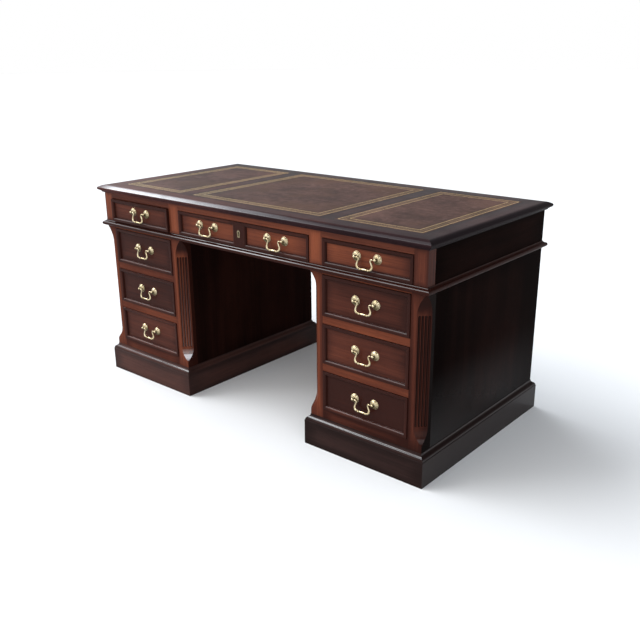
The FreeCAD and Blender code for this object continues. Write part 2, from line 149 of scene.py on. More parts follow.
# polished mahogany: broad ribbon, fine streaks along the board, open pores, rubbed and scuffed patches
mahogany = dict(
    warm=dict(deep=(0.026, 0.0065, 0.0042), middle=(0.074, 0.0195, 0.0112), bright=(0.225, 0.060, 0.026)),
    # aged: the top's colours; their purple cast is partly a painted reflection of the sky
    aged=dict(deep=(0.010, 0.0060, 0.0072), middle=(0.029, 0.0135, 0.0150), bright=(0.100, 0.034, 0.027)),
    # black: the sides and backs, painted near black as shade
    black=dict(deep=(0.0022, 0.0010, 0.0008), middle=(0.0072, 0.0028, 0.0022),
               bright=(0.024, 0.0078, 0.0054)),
    brown=dict(deep=(0.012, 0.0056, 0.0048), middle=(0.031, 0.0150, 0.0130), bright=(0.085, 0.034, 0.026)),
    # patina: the near-black colour that strong painted shade turns the wood to
    scuff=(0.30, 0.24, 0.20), patina=(0.0045, 0.0026, 0.0022),
    ribbon=((1.4, 16.0, 16.0), 3.0, 0.55), streak=((5.0, 210.0, 210.0), 3.0, 0.6),
    pore=((34.0, 1300.0, 1300.0), 1.0, 0.55), cloud=((3.1, 3.1, 3.1), 3.0, 0.55),
    rub=((38.0, 38.0, 38.0), 5.0, 0.65), haze=((9.0, 9.0, 9.0), 4.0, 0.55),
    ribbonShare=0.6, streakShare=0.45, cloudShare=0.55, darkest=-0.3,
    darkBand=(0.1, 0.62), brightBand=(0.45, 1.15), poreBand=(0.60, 0.72), poreShare=0.45,
    patinaBand=(0.15, 0.95), endBand=(0.70, 1.0), sideBand=(0.40, 0.95), grime=0.32, grimeCloud=0.6,
    scuffBand=(0.735, 0.79), scuffPatch=(0.45, 0.6), dullHeight=(0.05, 0.37),
    hazeRough=0.16, rubRough=0.08, scuffRough=0.3, poreRough=0.12, smoothest=-0.12,
    polishBand=(0.2, 0.5), polishShare=0.3,
    streakRelief=0.3, poreRelief=0.3, scuffRelief=0.5, rubRelief=0.4, reliefDepth=0.0002, relief=0.3)


def mahoganyFinish(name, colours, lift, roughness, sheen, scuffed, coatRoughness, coatIndex, dullUp=0.0):
    coat = {"Coat Roughness": coatRoughness, "Coat IOR": coatIndex}
    wood = Finish(name, {"Specular IOR Level": sheen, **coat})
    own, shades, place = mahogany, mahogany[colours], wood.place()
    grain, board = wood.attribute("grain", "Vector"), wood.attribute("board", "Vector")
    tone, shade, polish = (wood.attribute(layer) for layer in ("tone", "shade", "polish"))
    ribbon, streak, pore = (wood.noise(grain, *own[key]) for key in ("ribbon", "streak", "pore"))
    cloud, rubbed, haze = (wood.noise(place, *own[key]) for key in ("cloud", "rub", "haze"))
    pore = pore.ramp(*own["poreBand"])
    # darker towards each board's ends and sides: partly grime, partly painted shade beside the neighbouring
    # parts
    ends = wood.part(board, "X").math("ABSOLUTE").ramp(*own["endBand"])
    sides = wood.part(board, "Y").math("ABSOLUTE").ramp(*own["sideBand"])
    grimyAndShaded = ends.math("MAXIMUM", sides) * (cloud * own["grimeCloud"] + (1 - own["grimeCloud"]))
    # tone is each board's own colour; shade is painted light and shade from the way each surface looks, and
    # it also carries the red of the top's corner
    depth = ribbon * own["ribbonShare"] + streak * own["streakShare"] + cloud * own["cloudShare"]
    depth = depth - grimyAndShaded * own["grime"] + tone + shade + (lift + own["darkest"])
    colour = depth.ramp(*own["darkBand"]).tint(shades["deep"], shades["middle"])
    colour = depth.ramp(*own["brightBand"]).tint(colour, shades["bright"])
    colour = (pore * own["poreShare"]).tint(colour, shades["deep"])
    # strong painted shade turns the wood towards near black
    colour = (shade * -1.0).ramp(*own["patinaBand"]).tint(colour, own["patina"])
    scuffs = rubbed.ramp(*own["scuffBand"]) * cloud.ramp(*own["scuffPatch"]) * scuffed
    rough = haze * own["hazeRough"] + rubbed * own["rubRough"] + scuffs * own["scuffRough"]
    polish = polish * (1 - wood.part(place, "Z").ramp(*own["dullHeight"]) * dullUp)
    hazy = haze.ramp(*own["polishBand"]) * own["polishShare"] + (1 - own["polishShare"])
    height = streak * own["streakRelief"] - pore * own["poreRelief"] - scuffs * own["scuffRelief"]
    wood.wear({"Base Color": scuffs.tint(colour, own["scuff"]),
               "Roughness": rough + pore * own["poreRough"] + (roughness + own["smoothest"]),
               "Coat Weight": hazy * polish * (1 - scuffs),
               "Normal": wood.bump(height + rubbed * own["rubRelief"], own["reliefDepth"], own["relief"])})
    return wood.material


# plain drawer lining: pale straight-grained wood, stained in patches
lining = dict(
    pale=(0.29, 0.165, 0.082), dark=(0.15, 0.075, 0.036), sheen=0.2,
    streak=((4.0, 130.0, 130.0), 4.0, 0.6), band=((1.0, 18.0, 18.0), 2.0, 0.55),
    stain=((7.0, 7.0, 7.0), 4.0, 0.55),
    streakShare=0.6, bandShare=0.5, paleBand=(0.35, 0.75), stainBand=(0.45, 0.75), stainShare=0.5,
    roughness=0.55, stainRough=0.2, reliefDepth=0.00025, relief=0.5)


def liningFinish():
    wood = Finish("drawerLining", {"Specular IOR Level": lining["sheen"]})
    grain = wood.attribute("grain", "Vector")
    streak, band = (wood.noise(grain, *lining[key]) for key in ("streak", "band"))
    stain = wood.noise(wood.place(), *lining["stain"])
    pale = (streak * lining["streakShare"] + band * lining["bandShare"]).ramp(*lining["paleBand"])
    colour = pale.tint(lining["dark"], lining["pale"])
    colour = (stain.ramp(*lining["stainBand"]) * lining["stainShare"]).tint(colour, lining["dark"])
    wood.wear({"Base Color": colour,
               "Roughness": stain * lining["stainRough"] + lining["roughness"],
               "Normal": wood.bump(streak, lining["reliefDepth"], lining["relief"])})
    return wood.material


# brown hide: clouded and mottled, with tan patches, dark stains and pale rubbed places
hide = dict(
    dark=(0.022, 0.0098, 0.0075), middle=(0.043, 0.0190, 0.0142), pale=(0.118, 0.0590, 0.0462),
    tan=(0.082, 0.038, 0.021), rubbed=(0.30, 0.23, 0.20), gold=(0.74, 0.53, 0.22), sheen=0.10,
    cloud=((5.5, 5.5, 5.5), 5.0, 0.6), mottle=((42.0, 42.0, 42.0), 5.0, 0.62),
    crease=((260.0, 260.0, 260.0), 3.0, 0.55), brushed=((14.0, 30.0, 14.0), 5.0, 0.65),
    stain=((2.6, 2.6, 2.6), 4.0, 0.55), tanning=((4.2, 4.2, 4.2), 4.0, 0.6),
    rub=((26.0, 8.0, 8.0), 6.0, 0.75), fleck=((150.0, 150.0, 150.0), 2.0, 0.55),
    pebbles=620.0, pebbleBlend=0.5, drift=(0.05, 0.03, 0.0),
    cloudShare=0.6, mottleShare=0.45, brushedShare=0.3, paleBand=(0.54, 0.81),
    tanBand=(0.46, 0.66), tanShare=0.6, stainBand=(0.52, 0.68), stainShare=0.65,
    pebbleBand=(0.35, 0.75), pebbleShare=0.3, rubBand=(0.58, 0.76), rubPatch=(0.42, 0.62), rubShare=0.45,
    fleckBand=(0.68, 0.76), fleckPatch=(0.5, 0.65), fleckShare=0.8,
    roughness=0.58, giltRough=0.2, cloudRough=0.12, stainRough=0.06, giltMetal=0.55,
    creaseRelief=0.5, pebbleRelief=0.7, pressedRelief=1.4, mottleRelief=0.6, reliefDepth=0.0003, relief=0.6)

# gold tooled border, measured in from the hide's edge: two lines, a twisted chain and dots between them
tooling = dict(
    outerLine=0.0095, innerLine=0.0355, lineWidth=0.0013,
    chainMiddle=0.0225, chainSwing=0.0058, chainWidth=0.0014, chainPitch=0.026, chainShare=0.5,
    dotBand=(0.86, 0.97), dotWidth=0.0024, faintRun=(-0.5, 0.35), faintShare=0.6,
    mottleKept=0.8, creaseKept=0.5, keptBand=(0.42, 0.62), keptShare=0.45, keptLeast=0.5)


def pressedTooling(leather):
    # strands follow plus and minus a sine of the run along the edge; dots sit where the sine peaks
    own, inset = tooling, leather.attribute("inset")
    turn = (leather.attribute("tooling") * (2 * math.pi / own["chainPitch"])).math("SINE")
    chain = inset - own["chainMiddle"]
    strand = (chain - turn * own["chainSwing"]).near(0.0, own["chainWidth"])
    strand = strand.math("MAXIMUM", (chain + turn * own["chainSwing"]).near(0.0, own["chainWidth"]))
    dot = turn.math("ABSOLUTE").ramp(*own["dotBand"]) * chain.near(0.0, own["dotWidth"])
    outer, inner = (inset.near(own[key], own["lineWidth"]) for key in ("outerLine", "innerLine"))
    faint = leather.part(leather.place(), "X").ramp(*own["faintRun"]) * own["faintShare"]  # to the right
    twisted = strand.math("MAXIMUM", dot) * (1 - faint) * own["chainShare"]
    return outer.math("MAXIMUM", inner).math("MAXIMUM", twisted)


def hideFinish():
    leather = Finish("tooledHide", {"Specular IOR Level": hide["sheen"]})
    own, place = hide, leather.place()
    cloud, mottle, crease = (leather.noise(place, *own[key]) for key in ("cloud", "mottle", "crease"))
    brushed, fleck = (leather.noise(place, *own[key]) for key in ("brushed", "fleck"))
    stain = leather.noise(place, *own["stain"]).ramp(*own["stainBand"])
    tanned = leather.noise(place, *own["tanning"]).ramp(*own["tanBand"])
    pebble = leather.node("ShaderNodeTexVoronoi", {"feature": "SMOOTH_F1"},
                          {"Vector": place, "Scale": own["pebbles"], "Smoothness": own["pebbleBlend"]})
    pale = cloud * own["cloudShare"] + mottle * own["mottleShare"] + brushed * own["brushedShare"]
    colour = pale.ramp(*own["paleBand"]).tint(own["middle"], own["pale"])
    colour = (tanned * own["tanShare"]).tint(colour, own["tan"])
    colour = (stain * own["stainShare"]).tint(colour, own["dark"])
    colour = (pebble.ramp(*own["pebbleBand"]) * own["pebbleShare"]).tint(colour, own["dark"])
    drift = leather.node("ShaderNodeVectorMath", {"operation": "ADD"},
                         {0: place, 1: cloud.tint((0, 0, 0), own["drift"])})
    rubs = leather.noise(drift, *own["rub"]).ramp(*own["rubBand"]) * mottle.ramp(*own["rubPatch"])
    flecks = fleck.ramp(*own["fleckBand"]) * mottle.ramp(*own["fleckPatch"])
    worn = (rubs * own["rubShare"]).math("MAXIMUM", flecks * own["fleckShare"])
    colour = worn.tint(colour, own["rubbed"])
    pressed = pressedTooling(leather)
    kept = (mottle * tooling["mottleKept"] + crease * tooling["creaseKept"]).ramp(*tooling["keptBand"])
    gilt = pressed * (kept * tooling["keptShare"] + tooling["keptLeast"])  # gilding rubbed away in places
    rough = own["roughness"] - gilt * own["giltRough"] + cloud * own["cloudRough"]
    height = crease * own["creaseRelief"] - pebble * own["pebbleRelief"]
    height = height - pressed * own["pressedRelief"] + mottle * own["mottleRelief"]
    leather.wear({"Base Color": gilt.tint(colour, own["gold"]), "Metallic": gilt * own["giltMetal"],
                  "Roughness": rough - stain * own["stainRough"],
                  "Normal": leather.bump(height, own["reliefDepth"], own["relief"])})
    return leather.material


# polished brass with brown tarnish where fingers do not reach, and painted shade where it looks down
brassTone = dict(
    bright=(0.82, 0.70, 0.47), warm=(0.56, 0.43, 0.23), tarnish=(0.075, 0.056, 0.024), sheen=0.5,
    cloud=((90.0, 90.0, 90.0), 4.0, 0.6), fine=((900.0, 900.0, 900.0), 3.0, 0.55),
    warmBand=(0.3, 0.75), agedBand=(0.55, 0.8), recessShare=0.85, grimeBand=(0.12, 0.95),
    roughness=0.05, grimeRough=0.30, cloudRough=0.10, fineRough=0.08,
    fineRelief=0.6, cloudRelief=0.4, reliefDepth=0.00006, relief=0.4)


def brassFinish(name, aged, dull):
    metal = Finish(name, {"Metallic": 1.0, "Specular IOR Level": brassTone["sheen"]})
    own, place = brassTone, metal.place()
    cloud, fine = (metal.noise(place, *own[key]) for key in ("cloud", "fine"))
    # recess carries the tarnish of hollows and painted shade where the brass looks down
    grime = metal.attribute("recess") * own["recessShare"] + cloud.ramp(*own["agedBand"]) * aged + dull
    grime = grime.ramp(*own["grimeBand"])
    colour = cloud.ramp(*own["warmBand"]).tint(own["bright"], own["warm"])
    rough = grime * own["grimeRough"] + cloud * own["cloudRough"] + fine * own["fineRough"]
    height = fine * own["fineRelief"] + cloud * own["cloudRelief"]
    metal.wear({"Base Color": grime.tint(colour, own["tarnish"]), "Roughness": rough + own["roughness"],
                "Normal": metal.bump(height, own["reliefDepth"], own["relief"])})
    return metal.material


# the mahogany of each kind of board: its colours, how light it is, and the gloss of wood and polish
woods = dict(
    front=dict(colours="warm", lift=0.02, roughness=0.40, sheen=0.040, scuffed=0.25,
               coatRoughness=0.11, coatIndex=1.9),
    post=dict(colours="warm", lift=0.02, roughness=0.40, sheen=0.015, scuffed=0.25,
              coatRoughness=0.12, coatIndex=2.6),
    top=dict(colours="aged", lift=0.08, roughness=0.34, sheen=0.010, scuffed=0.25,
             coatRoughness=0.17, coatIndex=2.8),
    # sides and backs take the shaded black colours: painted shade
    side=dict(colours="black", lift=0.0, roughness=0.36, sheen=0.002, scuffed=0.10,
              coatRoughness=0.22, coatIndex=1.5, dullUp=1.0),
    plinth=dict(colours="brown", lift=-0.05, roughness=0.40, sheen=0.05, scuffed=1.00,
                coatRoughness=0.14, coatIndex=1.9))
finishes = {key: mahoganyFinish("mahogany" + key.capitalize(), **wood) for key, wood in woods.items()}
finishes.update(lining=liningFinish(), hide=hideFinish(),
                brass=brassFinish("polishedBrass", aged=0.25, dull=0.0),
                lockBrass=brassFinish("agedBrass", aged=0.5, dull=0.65))
print("finishes:", ", ".join(sorted(finishes)))

# loose triangles: corners that fall in one cell of a fine grid are one point; cells are counted per metre
shellWork = dict(cells=2e5, seed=5, weightBits=40)


def shells(mesh):
    # splits loose triangles into closed solids: one ends where the sum of signed edge weights is zero again
    corners = np.empty(len(mesh.loops), np.int32)
    mesh.loops.foreach_get("vertex_index", corners)
    places = np.empty(len(mesh.vertices) * 3, np.float32)
    mesh.vertices.foreach_get("co", places)
    grid = np.round(places.reshape(-1, 3).astype(float) * shellWork["cells"]).astype(np.int64)
    spots, merged = np.unique(grid, axis=0, return_inverse=True)
    faces = merged.reshape(-1)[corners].reshape(-1, 3)
    ahead = np.roll(faces, -1, axis=1)
    pairs = np.stack([np.minimum(faces, ahead).ravel(), np.maximum(faces, ahead).ravel()], 1)
    edges, which = np.unique(pairs, axis=0, return_inverse=True)
    chance = np.random.default_rng(shellWork["seed"])
    weights = chance.integers(1, 1 << shellWork["weightBits"], len(edges))
    signed = np.where(faces < ahead, 1, -1) * weights[which.reshape(-1)].reshape(-1, 3)
    ends = np.flatnonzero(np.cumsum(signed.sum(axis=1)) == 0)
    solid = np.searchsorted(ends, np.arange(len(faces)))
    own, faces = np.unique(solid[:, None] * len(spots) + faces, return_inverse=True)
    points, owner = spots[own % len(spots)] / shellWork["cells"], own // len(spots)
    low, high = np.full((len(ends), 3), np.inf), np.full((len(ends), 3), -np.inf)
    np.minimum.at(low, owner, points)
    np.maximum.at(high, owner, points)
    return points, faces.reshape(-1, 3), owner, low, high


def putAttribute(mesh, name, kind, values, domain="POINT"):
    layer = mesh.attributes.new(name, kind, domain)
    key = "vector" if kind == "FLOAT_VECTOR" else "value"
    layer.data.foreach_set(key, np.ascontiguousarray(values, np.float32).ravel())


def linked(name, data):
    item = bpy.data.objects.new(name, data)
    bpy.context.scene.collection.objects.link(item)
    return item


def handOver(piece, body, node=None):
    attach(piece, body)
    if node:
        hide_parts(node)


# boards: copies of the joinery with eased edges, and grain that runs along each board; ahead and turned are
# limits on where a surface looks
boardWork = dict(flatAngle=0.8, sharpAngle=33.0, segments=2, cutLimit=1e-6,
                 toneSpread=0.09, grainSpread=9.0, polish=0.03, ahead=0.05, turned=(0.1, 0.5))


def cornerLooks(mesh):  # where each face corner lies, and which way its surface looks there
    mesh.set_sharp_from_angle(angle=math.radians(boardWork["sharpAngle"]))
    index, looks = np.empty(len(mesh.loops), np.int32), np.empty(len(mesh.loops) * 3, np.float32)
    places = np.empty(len(mesh.vertices) * 3, np.float32)
    mesh.loops.foreach_get("vertex_index", index)
    mesh.vertices.foreach_get("co", places)
    mesh.corner_normals.foreach_get("vector", looks)
    mesh.attributes.remove(mesh.attributes["sharp_edge"])
    return places.reshape(-1, 3)[index].T, looks.reshape(-1, 3).T


def grainAxes(size, along):  # each board's axes, longest first, unless a given axis goes before the others
    order = np.argsort(-size, axis=1)
    if along is None:
        return order
    first = "xyz".index(along)
    others = order[order != first].reshape(-1, 2)
    return np.concatenate([np.full((len(order), 1), first), others], axis=1)


def easedBoards(node, finish, easing, slot="mahogany", tones=None, along=None, polish=None, shade=None,
                cuts=()):
    # each solid of a node is a board; a grain point is a place from the board's middle, by the board's axes
    points, faces, owner, low, high = shells(frame["nodes"][node].data)
    size, middle = high - low, (low + high) / 2
    chance = np.random.default_rng(sum(map(ord, node)))
    order = grainAxes(size, along)
    board = np.take_along_axis(points - middle[owner], order[owner], axis=1)
    reach = np.take_along_axis(size, order, axis=1) / 2
    spread = boardWork["grainSpread"]
    grain = board + chance.uniform(-spread, spread, (len(size), 3))[owner]
    tone = chance.uniform(-1, 1, len(size)) * boardWork["toneSpread"]
    if tones is not None:
        tone = tone + tones(size, low, high)
    mesh = bpy.data.meshes.new(node + "_boards")
    mesh.from_pydata(points.tolist(), [], faces.tolist())
    putAttribute(mesh, "grain", "FLOAT_VECTOR", grain)
    putAttribute(mesh, "board", "FLOAT_VECTOR", board / reach[owner])
    putAttribute(mesh, "tone", "FLOAT", tone[owner])
    work = bmesh.new()
    work.from_mesh(mesh)
    flat = math.radians(boardWork["flatAngle"])
    bmesh.ops.dissolve_limit(work, angle_limit=flat, verts=work.verts, edges=work.edges)
    for cut in cuts:  # crosswise edges, so that shade and polish can change along a length
        bmesh.ops.bisect_plane(work, geom=work.verts[:] + work.edges[:] + work.faces[:],
                               dist=boardWork["cutLimit"], plane_co=(cut, 0, 0), plane_no=(1, 0, 0))
    work.to_mesh(mesh)
    work.free()
    mesh.polygons.foreach_set("use_smooth", np.ones(len(mesh.polygons), bool))
    places, looks = cornerLooks(mesh)
    polish, shade = polish or everywhere(boardWork["polish"]), shade or everywhere(0.0)
    putAttribute(mesh, "polish", "FLOAT", polish(places, looks), "CORNER")
    putAttribute(mesh, "shade", "FLOAT", shade(places, looks), "CORNER")
    mesh.materials.append(finishes[finish])
    piece = linked(node + "_boards", mesh)
    ease = piece.modifiers.new("easing", "BEVEL")
    ease.width, ease.segments = easing, boardWork["segments"]
    ease.limit_method, ease.angle_limit = "ANGLE", math.radians(boardWork["sharpAngle"])
    piece.modifiers.new("flats", "WEIGHTED_NORMAL").keep_sharp = False
    handOver(piece, nodeBody[node], node)


# The functions below take boards' sizes and corners and give tones, or take places and looks and give polish
# or painted light and shade. A look is the direction that a surface faces: right, back and up.
def everywhere(amount):
    return lambda places, looks: np.full(places.shape[1], amount)


def sameTone(amount):
    return lambda size, low, high: np.full(len(size), amount)


def frontTones(front, ends):  # lengths along the front, and the others that run back along the ends
    return lambda size, low, high: np.where(size[:, 0] > size[:, 1], front, ends)


def turnedAway(amount):  # painted shade on surfaces that look to the right, away from the lamps
    return lambda places, looks: np.interp(looks[0], boardWork["turned"], (0.0, amount))


def moulded(run, shine, ends, upward):
    # polish along the front by place, less where the moulding turns off the light, and one value elsewhere
    def polish(places, looks):
        along = np.interp(places[0], run, shine) * np.interp(looks[2], upward, (0.0, 1.0, 1.0, 0.0))
        front = (looks[1] < -boardWork["ahead"]) & (np.abs(looks[0]) < boardWork["ahead"])
        return np.where(front, along, ends)
    return polish


# outer right side: it shows the floor in its polish, most of all near the front
rightSide = dict(look=0.9, beyond=0.6)


def floorSheen(front, back):
    depth = (cadBox[0][1], cadBox[1][1])

    def polish(places, looks):
        outer = (looks[0] > rightSide["look"]) & (places[0] > rightSide["beyond"])
        return np.where(outer, np.interp(places[1], depth, (front, back)), 0.0)
    return polish


# top: the front left of its border is the reddest, its ends that look to the right get painted shade, and
# its moulded edge shines at the left
topShade = dict(run=(-0.74, 0.40), red=0.45, border=0.08, away=-0.30)
topEdge = dict(run=(-0.74, -0.66, -0.40, -0.20, 0.0, 0.4), shine=(0.2, 1.0, 0.9, 0.5, 0.25, 0.08),
               ends=0.035, upward=(0.45, 0.78, 0.92, 0.995))


def redCorner(places, looks):
    red = np.interp(places[0], topShade["run"], (topShade["red"], 0.0))
    red *= places[1] < cadBox[0][1] + topShade["border"]
    return red + turnedAway(topShade["away"])(places, looks)


# frieze: uprights lean to orange, most of all beside the centre drawer; the moulding shines in the middle
friezeFrame = dict(reach=0.5, inner=0.40, outerLeft=0.34, outerRight=0.08, rail=0.34)
waistNose = dict(run=(-0.35, -0.15, 0.15, 0.3), shine=(0.25, 0.9, 0.9, 0.3), ends=0.02,
                 upward=(0.35, 0.6, 0.8, 0.95))


def friezeTones(size, low, high):
    outer = np.where(low[:, 0] < 0, friezeFrame["outerLeft"], friezeFrame["outerRight"])
    upright = np.where(np.abs(low + high)[:, 0] / 2 < friezeFrame["reach"], friezeFrame["inner"], outer)
    return np.where(size[:, 2] > size[:, 0], upright, friezeFrame["rail"])


# rails: those at the foot are darker than those between the drawers
railShape = dict(foot=0.2, footLeft=-0.05, footRight=-0.12, between=0.34)


def railTones(size, low, high):
    foot = np.where(low[:, 0] < 0, railShape["footLeft"], railShape["footRight"])
    return np.where(low[:, 2] < railShape["foot"], foot, railShape["between"])


# painted shade: the right front corner is darker towards its foot
shadedFoot = dict(run=((0.3, 0.7), (0.0, 1.0)), rise=((0.12, 0.24), (-0.42, 0.0)))


def shadedCorner(places, looks):
    return np.interp(places[0], *shadedFoot["run"]) * np.interp(places[2], *shadedFoot["rise"])


# corner posts: warmest beside the kneehole; painted shade where they look to the right, in their flutes and
# under their upper run-outs; lit on their lower run-outs
postShape = dict(
    warmth=((-0.7, -0.33, 0.33, 0.7), (0.18, 0.34, 0.28, 0.17)),
    leg=0.031, fluteInset=0.002, fluteDepth=0.0006, flute=-0.10,  # where the flutes lie in the chamfer, and the painted shade in them
    # painted shade under the upper run-outs, which look down and forwards, and on faces that look to the
    # right
    underside=-0.45, downward=0.25, frontward=-0.3,
    away=((0.0, 0.5, 0.72, 0.95), (0.0, 0.0, -0.10, -0.80)), awayRun=((-0.3, 0.7), (0.5, 1.0)),
    lit=((0.135, 0.141, 0.155, 0.170, 0.188, 0.192), (0.0, 1.0, 1.0, 0.7, 0.5, 0.0)),  # by height
    upward=(0.08, 0.28), sideward=0.2, scoopLeft=1.0, scoopRight=0.04, polish=0.015, unpolished=0.9)


def postTones(size, low, high):
    return np.interp((low + high)[:, 0] / 2, *postShape["warmth"])


def postShade(places, looks):
    back = places[1] - places[1].min()
    inward = np.minimum(places[0] - places[0].min(), places[0].max() - places[0])
    fluted = np.minimum(back, inward) > postShape["fluteInset"]
    fluted &= back + inward > postShape["leg"] + postShape["fluteDepth"]
    # painted shade: in the flutes, under run-outs that look down, and on faces that look to the right
    down = np.clip(-looks[2] / postShape["downward"], 0, 1) * (looks[1] < postShape["frontward"])
    away = np.interp(looks[0], *postShape["away"]) * np.interp(places[0], *postShape["awayRun"])
    return away + fluted * postShape["flute"] + down * postShape["underside"] + shadedCorner(places, looks)


def postPolish(places, looks):
    scooped = np.interp(looks[2], postShape["upward"], (0.0, 1.0)) * (looks[0] > postShape["sideward"])
    scooped *= np.interp(places[2], *postShape["lit"])
    scooped *= np.where(places[0] < 0, postShape["scoopLeft"], postShape["scoopRight"])
    return postShape["polish"] * (looks[0] < postShape["unpolished"]) + scooped


# drawer mouldings: painted light on the lip below each field, painted shade on those above and on the left,
# and the fields darker high on the right
lip = dict(up=0.30, down=-0.20, across=-0.12, polish=0.26,
           right=((0.38, 0.66), (0.0, -0.36)), high=((0.40, 0.50), (0.0, 1.0)))

# drawer fronts: the tones of each drawer's field and of its mouldings, dark below 0 and warm above it
fieldShare = 0.4  # of the largest solid's front, above which a solid is a field
drawerTones = dict(
    frieze_right=(0.41, -0.36), frieze_centre=(0.14, -0.34), frieze_left=(0.04, -0.28),
    right_pedestal_upper=(-0.10, -0.36), right_pedestal_middle=(0.08, -0.30),
    right_pedestal_lower=(-0.48, -0.36), left_pedestal_upper=(-0.30, -0.30),
    left_pedestal_middle=(-0.32, -0.30), left_pedestal_lower=(-0.10, -0.24))


def framed(field, mould):
    def tones(size, low, high):
        area = size[:, 0] * size[:, 2]
        return np.where(area > area.max() * fieldShare, field, mould)
    return tones


def lipShade(places, looks):
    slope = np.where(looks[2] > 0, looks[2] * lip["up"], -looks[2] * lip["down"]) + looks[0] * lip["across"]
    return slope + np.interp(places[0], *lip["right"]) * np.interp(places[2], *lip["high"])


def lipPolish(places, looks):
    return boardWork["polish"] + np.clip(looks[2], 0, 1) * lip["polish"]


# plinths: the ridge of the moulding shines along the front, the right end shows the floor, and faces of the
# right pedestal's plinth that look to the right get painted shade
plinthEdge = dict(run=(-0.6, -0.35, 0.35, 0.7), shine=(0.3, 0.8, 0.9, 1.0), ends=0.0,
                  upward=(0.72, 0.90, 1.0, 2.0))
plinthShape = dict(away=-0.25, sheenFront=0.32, sheenBack=0.22, cuts=(-0.6, 0.5))


def plinthShade(places, looks):
    return turnedAway(plinthShape["away"])(places, looks) * (places[0] > 0)


def plinthPolish(places, looks):
    sheen = floorSheen(plinthShape["sheenFront"], plinthShape["sheenBack"])
    return moulded(**plinthEdge)(places, looks) + sheen(places, looks)


# what each node of boards is given: its finish, how far its edges are eased, and how its looks change
bare = everywhere(0.0)
plain = dict(finish="lining", easing=0.0008, slot="lining_wood")
boardSets = dict(
    top_frame=dict(finish="top", easing=0.0009, shade=redCorner,
                   polish=moulded(**topEdge), cuts=topEdge["run"]),
    # the waist moulding's ends are toned darker than its front: painted shade where they turn from the lamps
    waist_moulding=dict(finish="front", easing=0.0005, tones=frontTones(front=-0.40, ends=-0.50),
                        shade=turnedAway(-0.45), polish=moulded(**waistNose), cuts=waistNose["run"]),
    frieze_front_frame=dict(finish="front", easing=0.0006, tones=friezeTones),
    frieze_ends=dict(finish="side", easing=0.0008, polish=bare),
    frieze_back=dict(finish="side", easing=0.0008, polish=bare))
pedestalSets = dict(
    # each plinth's ends are toned darker than its front: painted shade where they turn from the lamps
    left_pedestal=dict(sides=sameTone(0.35), plinth=frontTones(front=0.38, ends=0.30)),
    right_pedestal=dict(sides=sameTone(0.0), plinth=frontTones(front=-0.05, ends=-0.25)))
for pedestal, warmth in pedestalSets.items():
    boardSets[pedestal + "_sides"] = dict(finish="side", easing=0.0008, tones=warmth["sides"], along="z",
                                          polish=floorSheen(front=0.60, back=0.08))
    boardSets[pedestal + "_back"] = dict(finish="side", easing=0.0008, along="z", polish=bare)
    boardSets[pedestal + "_fluted_posts"] = dict(finish="post", easing=0.0003, tones=postTones,
                                                 polish=postPolish, shade=postShade)
    boardSets[pedestal + "_rails"] = dict(finish="post", easing=0.0006, tones=railTones,
                                          polish=everywhere(postShape["polish"]), shade=shadedCorner)
    boardSets[pedestal + "_plinth"] = dict(finish="plinth", easing=0.0005, tones=warmth["plinth"],
                                           shade=plinthShade, polish=plinthPolish, cuts=plinthShape["cuts"])
    boardSets[pedestal + "_runners"] = plain
boardSets.update(frieze_runners=plain, top_panels=plain)
for node in nodeBody:
    if node.endswith("_drawer_front"):
        tones = framed(*drawerTones[node.removesuffix("_drawer_front")])
        boardSets[node] = dict(finish="front", easing=0.0004, tones=tones, polish=lipPolish, shade=lipShade)
    if node.endswith("_drawer_box"):
        boardSets[node] = dict(plain, easing=0.0007)
for node, settings in boardSets.items():
    easedBoards(node, **settings)
print("boards: eased and given their grain")


def newPiece(name, points, faces, finish, body, node=None, smooth=True):
    mesh = bpy.data.meshes.new(name)
    mesh.from_pydata(points.tolist(), [], faces if isinstance(faces, list) else faces.tolist())
    mesh.polygons.foreach_set("use_smooth", np.full(len(mesh.polygons), smooth))
    mesh.materials.append(finish)
    piece = linked(name, mesh)
    handOver(piece, body, node)
    return piece


def closeUp(piece, merge=1e-6):  # joins points nearer than merge, as at a pole, and turns faces outwards
    work = bmesh.new()
    work.from_mesh(piece.data)
    if merge:
        bmesh.ops.remove_doubles(work, verts=work.verts, dist=merge)
    bmesh.ops.recalc_face_normals(work, faces=work.faces)
    work.to_mesh(piece.data)
    work.free()


def gridFaces(rows, columns, closed):
    # quads between neighbouring rows; the columns close on themselves when asked
    across = np.arange(columns if closed else columns - 1)
    row, column = np.meshgrid(np.arange(rows - 1), across, indexing="ij")
    beside = (column + 1) % columns
    return np.stack([row * columns + column, row * columns + beside,
                     (row + 1) * columns + beside, (row + 1) * columns + column], -1).reshape(-1, 4)


def roundAngles(count):  # evenly spaced angles of a full turn
    return np.arange(count) / count * 2 * math.pi


def arc(centre, radius, start, stop, count):  # points on a circle, angles in degrees
    angle = np.radians(np.linspace(start, stop, count))
    return np.column_stack([centre[0] + radius * np.cos(angle), centre[1] + radius * np.sin(angle)])


# writing leathers: each hide is a rounded edge carried round its bay, with one flat middle
hideShape = dict(edgeRound=0.0007, edgeSteps=4, flatFrom=0.004, tooledWidth=0.046, sideSteps=40)


